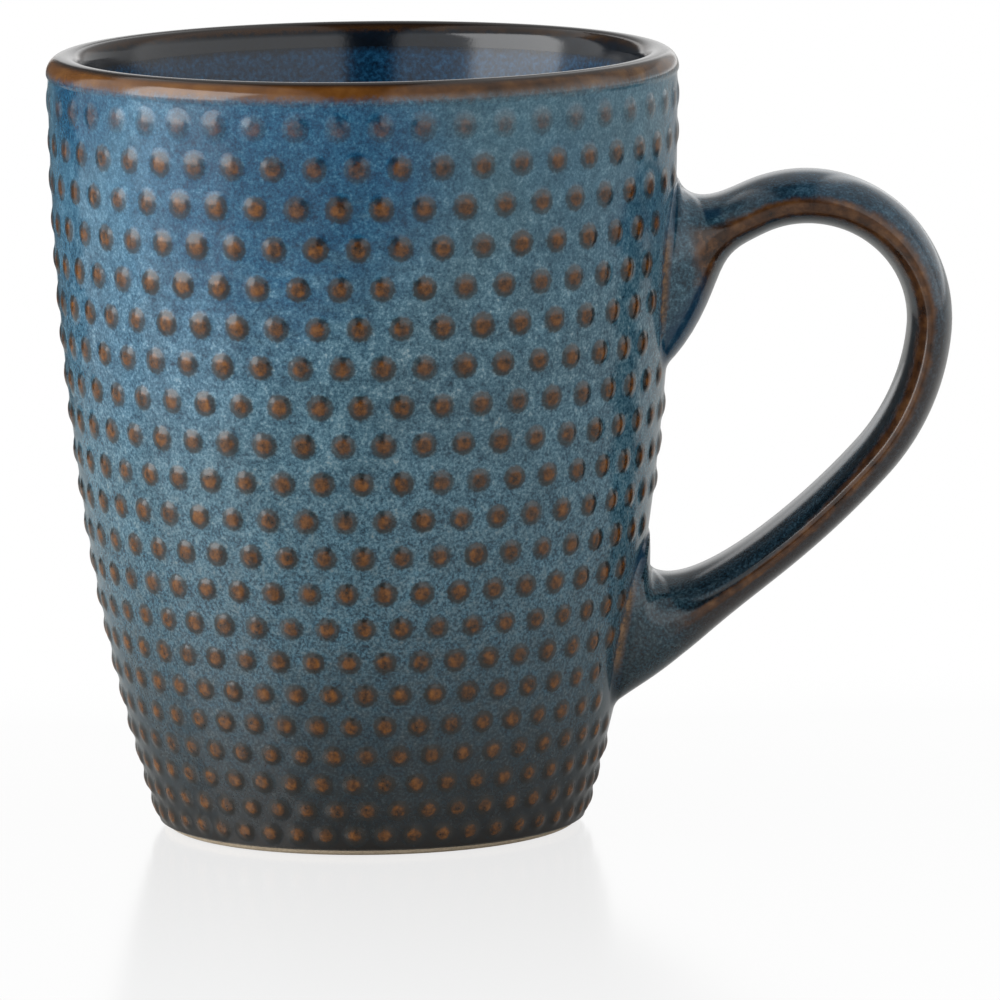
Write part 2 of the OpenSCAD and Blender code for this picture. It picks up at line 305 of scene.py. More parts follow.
SOFT = {"interpolation_type": "SMOOTHSTEP"}     # a soft step: 0 at the first number, 1 at the second
BLEND = {"data_type": "RGBA"}
TINT = {"data_type": "RGBA", "blend_type": "MULTIPLY"}
# Dark blue of pooled glaze, also laid as painted shade in the crook of the handle
POOL_AND_SHADE_BLUE = "#0e3450"


def linear(hex_colour):
    """sRGB hex to the linear colour that the shaders take."""
    parts = [int(hex_colour[i:i + 2], 16) / 255 for i in (1, 3, 5)]
    return tuple(c / 12.92 if c <= 0.04045 else ((c + 0.055) / 1.055) ** 2.4 for c in parts) + (1.0,)


def node(mat, kind, inputs=(), stops=(), **settings):
    """Adds a node. An input is a value, a socket, or a node whose result it takes; stops are for a ramp."""
    made = mat.node_tree.nodes.new("ShaderNode" + kind)
    for key, value in settings.items():
        setattr(made, key, value)
    for i, (place, colour) in enumerate(stops):
        elements = made.color_ramp.elements
        element = elements[i] if i < len(elements) else elements.new(1.0)
        element.position = place
        element.color = linear(colour) if isinstance(colour, str) else (colour, colour, colour, 1)
    for key, value in inputs.items() if isinstance(inputs, dict) else enumerate(inputs):
        if isinstance(value, bpy.types.Node):
            value = next(socket for socket in value.outputs if socket.enabled)
        if isinstance(value, bpy.types.NodeSocket):
            mat.node_tree.links.new(value, made.inputs[key])
        else:
            made.inputs[key].default_value = value
    return made


def new_material(name):
    mat = bpy.data.materials.new(name)
    mat.use_nodes = True
    mat.node_tree.nodes.clear()
    return mat


def blobs(where, size_mm, detail=3.0, roughness=0.55):
    """Inputs of a noise whose blobs are about size_mm across."""
    return {"Vector": where, "Scale": 1 / (size_mm * MM), "Detail": detail, "Roughness": roughness}


def wander(mat, value, noisy, amount):
    """Moves a value up and down by noise, so that a line drawn from it goes ragged."""
    swing = node(mat, "Math", (noisy, 0.5), operation="SUBTRACT")
    swing = node(mat, "Math", (swing, amount), operation="MULTIPLY")
    return node(mat, "Math", (value, swing), operation="ADD")


def spot(mat, where, centre, reach):
    """1 at a place on the mug (mm), easing to 0 at a distance of reach."""
    away = node(mat, "VectorMath", (where, [v * MM for v in centre]), operation="DISTANCE")
    return node(mat, "MapRange", (away, reach * MM, reach * 0.35 * MM), **SOFT)


def flecked(mat, colour, grain, amount):
    """Drives the flecks apart: iron brown between them and bright on them, more so as amount goes to 1."""
    between = node(mat, "MapRange", (grain, 0.56, 0.36), **SOFT)
    between = node(mat, "Math", (between, amount), operation="MULTIPLY")
    between = node(mat, "Math", (between, 0.8), operation="MULTIPLY")
    colour = node(mat, "Mix", {0: between, 6: colour, 7: linear("#241c17")}, **BLEND)
    most = node(mat, "Math", (amount, 1.2), operation="MULTIPLY")
    shine = node(mat, "MapRange", (grain, 0.46, 0.66), **SOFT)
    shine = node(mat, "Math", (shine, most), operation="MULTIPLY")
    shine = node(mat, "Math", (1.0, shine), operation="ADD")
    return node(mat, "Mix", {0: 1.0, 6: colour, 7: shine}, **TINT)


def blue_glaze(mat, where):
    """Colour of the reactive glaze: slate blue with pale rutile flecks, and cobalt where it ran thick."""
    z = node(mat, "SeparateXYZ", (where,)).outputs["Z"]
    height = node(mat, "Math", (z, CUP_H * MM), operation="DIVIDE")
    # Flecks under half a millimetre gather in mottles of 1.5 mm
    fleck = node(mat, "TexNoise", blobs(where, 0.42, 3.0, 0.7))
    mottle = node(mat, "TexNoise", blobs(where, 1.5, 3.0, 0.65))
    flat = node(mat, "VectorMath", (where, (1, 1, 4)), operation="MULTIPLY")
    streak = node(mat, "TexNoise", blobs(flat, 6.0, 3.0, 0.6))
    grain = node(mat, "Math", (node(mat, "Math", (fleck, 0.6), operation="MULTIPLY"),
                               node(mat, "Math", (mottle, 0.4), operation="MULTIPLY")), operation="ADD")

    # Near the lip the coat is thicker and the flecks melt into it
    near_lip = node(mat, "MapRange", (height, 0.65, 0.92), **SOFT)
    calm = node(mat, "Math", (near_lip, 0.45), operation="MULTIPLY")
    calm = node(mat, "Math", (1.0, calm), operation="SUBTRACT")
    melted = node(mat, "Math", (grain, 0.52), operation="SUBTRACT")
    melted = node(mat, "Math", (melted, calm), operation="MULTIPLY")
    melted = node(mat, "Math", (0.52, melted), operation="ADD")
    slate = node(mat, "ValToRGB", (melted,), stops=[
        (0.34, "#153548"), (0.43, "#325a6e"), (0.52, "#50788a"), (0.60, "#7396a5"), (0.70, "#b1c3c6")])
    cobalt = node(mat, "ValToRGB", (grain,), stops=[
        (0.34, "#072d4a"), (0.46, "#13496b"), (0.56, "#276283"), (0.70, "#5b89a0")])

    # Cobalt lies in two runs at the front and in a few wide patches, all of them high on the wall
    thick = node(mat, "Math", (spot(mat, where, (-14, -41, 94), 30), spot(mat, where, (-4, -44, 98), 24)),
                 operation="MAXIMUM")
    patches = node(mat, "MapRange", (node(mat, "TexNoise", blobs(where, 38.0, 1.0)), 0.48, 0.7), **SOFT)
    high_up = node(mat, "MapRange", (height, 0.62, 0.95), **SOFT)
    patches = node(mat, "Math", (patches, high_up), operation="MULTIPLY")
    thick = node(mat, "Math", (thick, patches), operation="MAXIMUM")
    ran_down = node(mat, "MapRange", (wander(mat, height, streak, 0.6), 0.5, 0.85), **SOFT)
    thick = node(mat, "Math", (thick, ran_down), operation="MULTIPLY")
    cool = spot(mat, where, (-34, -28, 90), 42)
    cool = node(mat, "Mix", {0: cool, 6: (1, 1, 1, 1), 7: (0.86, 1.0, 1.14, 1)}, **BLEND)
    slate = node(mat, "Mix", {0: 1.0, 6: slate, 7: cool}, **TINT)
    colour = node(mat, "Mix", {0: thick, 6: slate, 7: cobalt}, **BLEND)

    # Low on the wall the coat thins: the clay's iron darkens it and shows between the flecks
    low = node(mat, "Math", (1.0, height), operation="SUBTRACT")
    thin = node(mat, "MapRange", (wander(mat, low, grain, 1.9), 0.56, 1.05), **SOFT)
    thin = node(mat, "Math", (thin, 0.7), operation="MULTIPLY")
    colour = node(mat, "Mix", {0: thin, 6: colour, 7: linear("#28231f")}, **BLEND)
    cloud = node(mat, "TexNoise", blobs(where, 9.0, 3.0, 0.6))
    cloud = node(mat, "ValToRGB", (cloud,), stops=[(0.3, 0.72), (0.7, 1.0)])
    colour = node(mat, "Mix", {0: 1.0, 6: colour, 7: cloud}, **TINT)
    # The wall is also darker towards the bottom, down to about an eighth of its colour just above the foot
    darker_toward_foot = node(mat, "ValToRGB", (height,), stops=[
        (0.03, 0.12), (0.10, 0.32), (0.2, 0.62), (0.32, 0.82), (0.6, 0.92), (0.85, 1.0)])
    colour = node(mat, "Mix", {0: 1.0, 6: colour, 7: darker_toward_foot}, **TINT)
    apart = node(mat, "Math", (node(mat, "MapRange", (height, 0.6, 0.2), **SOFT), 0.55), operation="MULTIPLY")
    return flecked(mat, colour, fleck, apart), grain


def gloss(mat, colour, rough, relief, relief_mm, ior=1.52):
    """A fired surface with a fine relief. Glaze is a glass, so its IOR is near 1.5."""
    bump = node(mat, "Bump", {"Height": relief, "Distance": relief_mm * MM, "Strength": 1.0})
    shader = node(mat, "BsdfPrincipled", {
        "Base Color": colour, "Roughness": rough, "IOR": ior, "Normal": bump})
    node(mat, "OutputMaterial", {"Surface": shader})
    return mat


def glazed_wall_finish():
    """Reactive stoneware glaze, dipped and fired: mottled blue, glassy, and burnt brown at the foot."""
    mat = new_material("reactive_blue_glaze_fired")
    where = node(mat, "TexCoord").outputs["Object"]
    colour, grain = blue_glaze(mat, where)
    z = node(mat, "Math", (node(mat, "SeparateXYZ", (where,)).outputs["Z"], MM), operation="DIVIDE")
    ragged = wander(mat, z, node(mat, "TexNoise", blobs(where, 3.0)), 3.0)
    burnt = node(mat, "MapRange", (ragged, 4.4, 1.6), **SOFT)
    colour = node(mat, "Mix", {0: burnt, 6: colour, 7: linear("#14110f")}, **BLEND)
    return gloss(mat, colour, 0.13, grain, 0.01)


def dot_finish():
    """The glaze over raised slip: thin on top, where it breaks to iron brown, and dark round the dot."""
    mat = new_material("reactive_glaze_broken_brown_over_slip")
    where = node(mat, "TexCoord").outputs["Object"]
    colour, grain = blue_glaze(mat, where)
    rise = node(mat, "Attribute", attribute_name="rise").outputs["Fac"]
    burn = node(mat, "Attribute", attribute_name="burn").outputs["Fac"]
    edge = wander(mat, rise, node(mat, "TexNoise", blobs(where, 0.7, 3.0, 0.7)), 0.34)
    ring = node(mat, "Math", (node(mat, "MapRange", (edge, 0.12, 0.36), **SOFT),
                              node(mat, "Math", (burn, 0.88), operation="MULTIPLY")), operation="MULTIPLY")
    core = node(mat, "Math", (node(mat, "MapRange", (edge, 0.42, 0.72), **SOFT), burn), operation="MULTIPLY")
    brown = node(mat, "ValToRGB", (node(mat, "TexNoise", blobs(where, 1.1, 3.0, 0.65)),), stops=[
        (0.3, "#1c1208"), (0.44, "#482a0c"), (0.58, "#6a3f11"), (0.75, "#82521c")])
    colour = node(mat, "Mix", {0: ring, 6: colour, 7: linear("#221e18")}, **BLEND)
    colour = node(mat, "Mix", {0: core, 6: colour, 7: brown}, **BLEND)
    return gloss(mat, colour, 0.17, grain, 0.01)


def rim_finish():
    """Iron glaze where the coat runs thin off the lip: warm brown that melts into the blue on both sides.
    Painted shade darkens the crest and the inside of the lip, and painted light warms the left side.
    """
    mat = new_material("iron_brown_glaze_fired")
    where = node(mat, "TexCoord").outputs["Object"]
    blue, grain = blue_glaze(mat, where)
    place = node(mat, "SeparateXYZ", (where,))
    depth = node(mat, "Math", (place.outputs["Z"], MM), operation="DIVIDE")
    depth = node(mat, "Math", (CUP_H, depth), operation="SUBTRACT")
    level = node(mat, "VectorMath", (where, (1, 1, 0)), operation="MULTIPLY")
    radius = node(mat, "VectorMath", (level,), operation="LENGTH")
    inside = node(mat, "MapRange", (radius, (LIP_X - 0.2) * MM, (LIP_X - 0.8) * MM), **SOFT)
    brown = node(mat, "ValToRGB", (node(mat, "TexNoise", blobs(where, 5.0, 3.0, 0.6)),), stops=[
        (0.3, "#23160b"), (0.5, "#503317"), (0.7, "#714f28")])
    # Painted light: the left side, toward the soft box, is a lighter, warmer brown
    left_side_painted_light = node(mat, "MapRange", (place.outputs["X"], 26 * MM, -14 * MM), **SOFT)
    left_side_painted_light = node(mat, "Math", (left_side_painted_light, 0.5), operation="MULTIPLY")
    brown = node(mat, "Mix", {0: left_side_painted_light, 6: brown, 7: linear("#74481c")}, **BLEND)
    # Painted shade: the crest of the lip is darkened
    crest = node(mat, "MapRange", (depth, 0.8, 0.15), **SOFT)
    brown = node(mat, "Mix", {0: crest, 6: brown, 7: linear("#231d1a")}, **BLEND)
    ragged = wander(mat, depth, node(mat, "TexNoise", blobs(where, 1.2, 4.0, 0.75)), 2.0)
    outer = node(mat, "MapRange", (ragged, 1.5, 3.3), **SOFT)
    inner = node(mat, "MapRange", (ragged, 0.7, 1.5), **SOFT)
    shaded = node(mat, "Math", (inside, 0.75), operation="MULTIPLY")
    brown = node(mat, "Mix", {0: shaded, 6: brown, 7: linear("#16110f")}, **BLEND)
    # Painted shade: the inner face of the lip, below the crest, goes almost black
    inner_lip_shade = node(mat, "ValToRGB", (grain,), stops=[(0.35, "#070a0f"), (0.7, "#101c28")])
    outward = node(mat, "Mix", {0: outer, 6: brown, 7: blue}, **BLEND)
    inward = node(mat, "Mix", {0: inner, 6: brown, 7: inner_lip_shade}, **BLEND)
    colour = node(mat, "Mix", {0: inside, 6: outward, 7: inward}, **BLEND)
    return gloss(mat, colour, 0.13, grain, 0.012)


def liner_finish():
    """Smooth liner glaze, poured and fired: deep glassy blue with few flecks, and almost black in a band of
    painted shade just under the lip.
    """
    mat = new_material("deep_blue_liner_glaze_poured")
    where = node(mat, "TexCoord").outputs["Object"]
    fleck = node(mat, "TexNoise", blobs(where, 0.6, 3.0, 0.6))
    colour = node(mat, "ValToRGB", (fleck,), stops=[(0.3, "#041c30"), (0.5, "#0b3552"), (0.7, "#1e5276")])
    depth = node(mat, "Math", (node(mat, "SeparateXYZ", (where,)).outputs["Z"], MM), operation="DIVIDE")
    depth = node(mat, "Math", (CUP_H, depth), operation="SUBTRACT")
    # Painted shade: a band just under the lip goes almost black
    ragged = wander(mat, depth, node(mat, "TexNoise", blobs(where, 3.0)), 1.4)
    thin = node(mat, "MapRange", (ragged, 4.7, 3.2), **SOFT)
    thin = node(mat, "Math", (thin, 0.85), operation="MULTIPLY")
    colour = node(mat, "Mix", {0: thin, 6: colour, 7: linear("#08090c")}, **BLEND)
    return gloss(mat, colour, 0.16, fleck, 0.008, 1.46)


def handle_finish():
    """The wall's glaze on a pulled strap: it breaks to brown along both edges and pools by the upper pad,
    with painted shade in a dark line along an edge and in the pool under the upper join.
    """
    mat = new_material("reactive_blue_glaze_on_strap")
    where = node(mat, "TexCoord").outputs["Object"]
    colour, grain = blue_glaze(mat, where)
    colour = flecked(mat, colour, grain, 0.3)
    across = node(mat, "Attribute", attribute_name="across").outputs["Fac"]
    along = node(mat, "Attribute", attribute_name="along").outputs["Fac"]
    depth = node(mat, "ValToRGB", (along,), stops=[
        (0.06, "#c2ccd0"), (0.14, "#9ca8b2"), (0.85, "#94a0aa"), (0.95, "#bcc6c8")])
    colour = node(mat, "Mix", {0: 1.0, 6: colour, 7: depth}, **TINT)
    ragged = node(mat, "TexNoise", blobs(where, 1.6, 4.0, 0.7))

    # Where the breaking edge lies across the strap (0.5 is its middle) and how wide the brown runs
    crest = node(mat, "ValToRGB", (along,), stops=[
        (0.03, 0.40), (0.14, 0.44), (0.30, 0.42), (0.45, 0.36), (0.60, 0.38), (0.75, 0.5), (0.9, 0.55)])
    crest = node(mat, "Math", (crest, 0.5), operation="SUBTRACT")
    crest = node(mat, "Math", (crest, 2.0), operation="MULTIPLY")
    spread = node(mat, "ValToRGB", (along,), stops=[
        (0.03, 0.55), (0.06, 0.4), (0.12, 0.3), (0.3, 0.46), (0.5, 0.36), (0.7, 0.24), (0.85, 0.14)])
    off = node(mat, "Math", (across, crest), operation="SUBTRACT")
    shares = node(mat, "Math", (off, spread), operation="DIVIDE")
    from_crest = node(mat, "Math", (off,), operation="ABSOLUTE")
    from_crest = node(mat, "Math", (from_crest, spread), operation="DIVIDE")
    from_crest = wander(mat, from_crest, ragged, 0.9)
    strap_start = node(mat, "MapRange", (wander(mat, along, ragged, 0.02), 0.022, 0.045), **SOFT)
    strap_end = node(mat, "MapRange", (along, 0.95, 0.88), **SOFT)
    on_strap = node(mat, "Math", (strap_start, strap_end), operation="MULTIPLY")

    # On the grip the outer side is brown all over, and a dark line of painted shade runs just inside the
    # brown edge
    outer = node(mat, "MapRange", (wander(mat, shares, ragged, 0.8), -0.2, 0.6), **SOFT)
    on_grip = node(mat, "MapRange", (along, 0.3, 0.5), **SOFT)
    outer = node(mat, "Math", (outer, on_grip), operation="MULTIPLY")
    outer = node(mat, "Math", (outer, 0.7), operation="MULTIPLY")
    outer = node(mat, "Math", (outer, on_strap), operation="MULTIPLY")
    colour = node(mat, "Mix", {0: outer, 6: colour, 7: linear("#3a2d26")}, **BLEND)
    # Painted shade: the dark line just inside the brown edge
    line = node(mat, "Math", (node(mat, "Math", (shares, 1.5), operation="ADD"),), operation="ABSOLUTE")
    line = node(mat, "MapRange", (line, 0.8, 0.2), **SOFT)
    line = node(mat, "Math", (line, on_strap), operation="MULTIPLY")
    line = node(mat, "Math", (line, 0.75), operation="MULTIPLY")
    colour = node(mat, "Mix", {0: line, 6: colour, 7: linear("#0d1216")}, **BLEND)
    brown = node(mat, "ValToRGB", (node(mat, "TexNoise", blobs(where, 2.2, 3.0, 0.6)),), stops=[
        (0.3, "#2c1a0d"), (0.5, "#4e3019"), (0.72, "#6e4a2a")])
    edge = node(mat, "MapRange", (from_crest, 1.35, 0.6), **SOFT)
    edge = node(mat, "Math", (edge, on_strap), operation="MULTIPLY")
    colour = node(mat, "Mix", {0: edge, 6: colour, 7: brown}, **BLEND)

    # Dark streaks run through the brown down the neck
    neck = node(mat, "Math", (node(mat, "MapRange", (along, 0.1, 0.05), **SOFT),
                              node(mat, "MapRange", (ragged, 0.56, 0.44), **SOFT)), operation="MULTIPLY")
    neck = node(mat, "Math", (neck, on_strap), operation="MULTIPLY")
    in_brown = node(mat, "MapRange", (from_crest, 1.5, 0.9), **SOFT)
    neck = node(mat, "Math", (neck, in_brown), operation="MULTIPLY")
    neck = node(mat, "Math", (neck, 0.7), operation="MULTIPLY")
    colour = node(mat, "Mix", {0: neck, 6: colour, 7: linear("#140f0d")}, **BLEND)

    # Blue pools at the foot of the upper pad, laid there also as painted shade under the join, and one drop
    # of it lies on the top of the neck
    pool_and_shade = node(mat, "Math", (node(mat, "MapRange", (wander(mat, along, ragged, 0.02), 0.045, 0.03), **SOFT),
                              node(mat, "MapRange", (wander(mat, across, ragged, 0.5), -0.2, -0.5), **SOFT)),
                operation="MULTIPLY")
    pool_and_shade = node(mat, "Math", (pool_and_shade, 0.75), operation="MULTIPLY")
    off_along = node(mat, "Math", (along, 0.072), operation="SUBTRACT")
    off_along = node(mat, "Math", (off_along,), operation="ABSOLUTE")
    off_across = node(mat, "Math", (across, 0.58), operation="SUBTRACT")
    off_across = node(mat, "Math", (off_across,), operation="ABSOLUTE")
    drop = node(mat, "Math", (node(mat, "MapRange", (off_along, 0.014, 0.008), **SOFT),
                              node(mat, "MapRange", (off_across, 0.2, 0.08), **SOFT)), operation="MULTIPLY")
    drop = node(mat, "Math", (drop, 0.7), operation="MULTIPLY")
    pooled_and_shaded = node(mat, "Math", (pool_and_shade, drop), operation="MAXIMUM")
    colour = node(mat, "Mix", {0: pooled_and_shaded, 6: colour, 7: linear(POOL_AND_SHADE_BLUE)}, **BLEND)
    return gloss(mat, colour, 0.16, grain, 0.01)


def pooled_and_shaded_finish():
    """Glaze that ran into the corner round a pad: darker, partly as painted shade in the corner, and broken
    to ochre along the soft ridge.
    """
    mat = new_material("reactive_blue_glaze_pooled_and_shaded")
    where = node(mat, "TexCoord").outputs["Object"]
    colour, grain = blue_glaze(mat, where)
    # Painted shade, with the pooled glaze: the whole bead is darkened
    colour = node(mat, "Mix", {0: 1.0, 6: colour, 7: linear("#b4c4d0")}, **TINT)
    across = node(mat, "Attribute", attribute_name="across").outputs["Fac"]
    rise = node(mat, "Attribute", attribute_name="rise").outputs["Fac"]
    mottled = node(mat, "TexNoise", blobs(where, 1.0, 4.0, 0.75))
    # Painted shade, with the pooled glaze: the side of the bead in the crook of the handle goes dark blue
    foot = node(mat, "MapRange", (wander(mat, across, mottled, 0.5), -0.45, -0.7), **SOFT)
    foot = node(mat, "Math", (foot, 0.6), operation="MULTIPLY")
    colour = node(mat, "Mix", {0: foot, 6: colour, 7: linear(POOL_AND_SHADE_BLUE)}, **BLEND)
    off_ridge = node(mat, "Math", (wander(mat, rise, mottled, 0.9), 0.55), operation="SUBTRACT")
    off_ridge = node(mat, "Math", (off_ridge,), operation="ABSOLUTE")
    off_side = node(mat, "Math", (wander(mat, across, mottled, 0.4),), operation="ABSOLUTE")
    ridge = node(mat, "Math", (node(mat, "MapRange", (off_ridge, 0.55, 0.05), **SOFT),
                               node(mat, "MapRange", (off_side, 0.52, 0.22), **SOFT)), operation="MULTIPLY")
    ridge = node(mat, "Math", (ridge, 0.85), operation="MULTIPLY")
    ochre = node(mat, "ValToRGB", (mottled,), stops=[(0.38, "#3a2a1c"), (0.5, "#6a4c2c"), (0.62, "#8c6842")])
    colour = node(mat, "Mix", {0: ridge, 6: colour, 7: ochre}, **BLEND)
    return gloss(mat, colour, 0.14, grain, 0.008)


def bare_finish():
    """Unglazed stoneware, wiped clean before firing: pale buff, matt and slightly gritty."""
    mat = new_material("bare_stoneware_fired")
    where = node(mat, "TexCoord").outputs["Object"]
    # The real grit is nearer 0.2 mm and is drawn twice as coarse, so that it shows
    grit = node(mat, "TexNoise", blobs(where, 0.4, 3.0, 0.6))
    colour = node(mat, "ValToRGB", (grit,), stops=[(0.3, "#b5a48c"), (0.6, "#cbbba4"), (0.8, "#d8cbb6")])
    return gloss(mat, colour, 0.85, grit, 0.03)


def set_material(piece, mat):
    piece.data.materials.clear()
    piece.data.materials.append(mat)


# ---------------------------------------------------------------- glazed wall

WALL_STEPS, FOOT_STEPS, EDGE_STEPS = 60, 8, 6
FACE_SHORT, EDGE_PAST = 0.12, 0.03      # in radians: the coat ends in a rounded edge under the foot

foot_reach = BOW_LOWER - GLAZE_T - FOOT_ROUND
foot_slope = math.asin((FOOT_ROUND - LOWER_C.y) / foot_reach)
foot_c = LOWER_C + polar(foot_reach, foot_slope)
band_slope = wall_slope(BAND_Z, GLAZE_T)
slopes = [foot_slope + (band_slope - foot_slope) * i / WALL_STEPS for i in range(WALL_STEPS + 1)]
wall_outline = (
    bend(foot_c, FOOT_ROUND + GLAZE_T, GLAZE_END + FACE_SHORT, foot_slope, FOOT_STEPS)[:-1]
    + [wall_at(a) for a in slopes]
    + [wall_at(a, GLAZE_T - SKIN) for a in reversed(slopes)]
    + bend(foot_c, FOOT_ROUND + SKIN, foot_slope, GLAZE_END, EDGE_STEPS)[1:]
    + [foot_c + polar(FOOT_ROUND + GLAZE_T * 0.5, GLAZE_END - EDGE_PAST)]
)
glazed_wall = turned("glazed_wall", wall_outline)
set_material(glazed_wall, glazed_wall_finish())
finished(glazed_wall, "outer_glaze", "outer_glaze")

# ---------------------------------------------------------------- lip

SWELL_STEPS, LIP_STEPS = 8, 40
CORNER_STEPS = 24

lip_swell = [wall_at(band_slope * (1 - i / SWELL_STEPS), -LIP_PROUD * smooth(i / SWELL_STEPS))
             for i in range(SWELL_STEPS + 1)]
lip_outline = (
    lip_swell
    + bend(Vector((LIP_X, LIP_Z)), LIP_R, 0, math.pi - LIP_LEAN, LIP_STEPS)[1:]
    + [inner_at(BAND_IN, INNER_FACE), inner_at(BAND_IN, INNER_FACE - LINER_T + SKIN)]
    + bend(Vector((LIP_X, LIP_Z)), LIP_CLAY_R + SKIN, math.pi, 0, CORNER_STEPS)
    + [wall_at(band_slope, GLAZE_T - SKIN)]
)
glazed_lip = turned("glazed_lip", lip_outline)
set_material(glazed_lip, rim_finish())
finished(glazed_lip, "rim_glaze", "rim_glaze")

# ---------------------------------------------------------------- liner

LINER_STEPS = 90
FLAT_R = 8      # the floor inside is flat this far out

corner_r = INNER_CORNER + LINER_T
floor_z = FOOT_HOLLOW + FLOOR_T
corner_reach = BOW_LOWER - (INNER_FACE - LINER_T) - corner_r
corner_slope = math.asin((floor_z + corner_r - LOWER_C.y) / corner_reach)
corner_c = LOWER_C + polar(corner_reach, corner_slope) - Vector((LIP_STEP + WALL_SWELL, 0))
inner_slopes = [BAND_IN + (corner_slope - BAND_IN) * i / LINER_STEPS for i in range(LINER_STEPS + 1)]
liner_outline = (
    [inner_at(a, INNER_FACE) for a in inner_slopes]
    + bend(corner_c, INNER_CORNER, corner_slope, -math.pi / 2, CORNER_STEPS)[1:]
    + [Vector((r, floor_z + t)) for r, t in ((FLAT_R, LINER_T), (0, LINER_T), (0, SKIN))]
    + bend(corner_c, corner_r - SKIN, -math.pi / 2, corner_slope, CORNER_STEPS)
    + [inner_at(a, INNER_FACE - LINER_T + SKIN) for a in reversed(inner_slopes)][1:]
)
glazed_liner = turned("glazed_liner", liner_outline)
set_material(glazed_liner, liner_finish())
finished(glazed_liner, "liner_glaze", "liner_glaze")

# ---------------------------------------------------------------- dots

DOT_ROWS = 21
DOTS_IN_ROW = 47
DOT_D = 3.5
DOT_H = 0.5
DOT_ROOM = 0.3          # bare wall left between a dot and a pad's bead
FIRST_DOT = math.radians(-86.9)
STAGGER = 0.44
BEAD = 0.6              # how far a pad's bead reaches over the wall, as the dots see it
CLOSE_UP, CLOSE_POWER = 0.098, 3.8      # how far, and how late, the rows close up toward the foot
LAST_ROW = DOT_ROWS - 1
TOP_ROW_Z = CUP_H - 6.35
LOW_ROW_Z = 3.3
TOP_TALL, MORE_TALL, ROWS_TO_TALL = 0.58, 0.28, 6       # dots stand lower near the lip
BURN_BY_ROW, BURN_BELOW = (0.4, 0.72, 0.84, 0.9), 0.95  # and brown less there
UNEVEN_W, UNEVEN_H, UNEVEN_BURN = (0.95, 1.04), (0.9, 1.0), (0.88, 1.1)     # no two dots are alike
# Half section of one dot as (radius, height) for a dot 3.5 mm across: a dome that eases into the wall
DOT_SECTION = [(2.5, 0.0), (2.15, 0.03), (1.8, 0.1), (1.5, 0.21), (1.15, 0.34), (0.8, 0.43), (0.4, 0.485)]
DOT_SIDES = 12


def row_steps(k):
    return k - CLOSE_UP * LAST_ROW * (k / LAST_ROW) ** CLOSE_POWER


def row_z(k):
    return TOP_ROW_Z - (TOP_ROW_Z - LOW_ROW_Z) * row_steps(k) / row_steps(LAST_ROW)


def pad_outline(s):
    point, out, inward, wide, lean, firmness = section(s)
    return wide + BEAD, (out + inward) / 2 + BEAD, point.y + math.sin(lean) * (out - inward) / 2


PADS = [pad_outline(0), pad_outline(STRAP_L)]


def clear_of(pad, y, z):
    wide, high, middle = pad
    room = DOT_D / 2 + DOT_ROOM
    return (abs(y) / (wide + room)) ** PAD_FIRM + (abs(z - middle) / (high + room)) ** PAD_FIRM > 1


def one_dot():
    """A single dot on a flat base, drawn up ring by ring and closed at the top."""
    bpy.ops.object.select_all(action="DESELECT")
    r, h = DOT_SECTION[0]
    bpy.ops.mesh.primitive_circle_add(vertices=DOT_SIDES, radius=r, calc_uvs=False)
    dot = bpy.context.object
    bpy.ops.object.mode_set(mode="EDIT")
    bpy.ops.mesh.select_all(action="SELECT")
    for r1, h1 in DOT_SECTION[1:]:
        bpy.ops.mesh.extrude_edges_move(TRANSFORM_OT_translate={"value": (0, 0, h1 - h)})
        bpy.ops.transform.resize(value=(r1 / r, r1 / r, 1), center_override=(0, 0, h1))
        r, h = r1, h1
    bpy.ops.mesh.extrude_edges_move(TRANSFORM_OT_translate={"value": (0, 0, DOT_H - h)})
    bpy.ops.mesh.merge(type="CENTER")
    bpy.ops.object.mode_set(mode="OBJECT")
    return dot


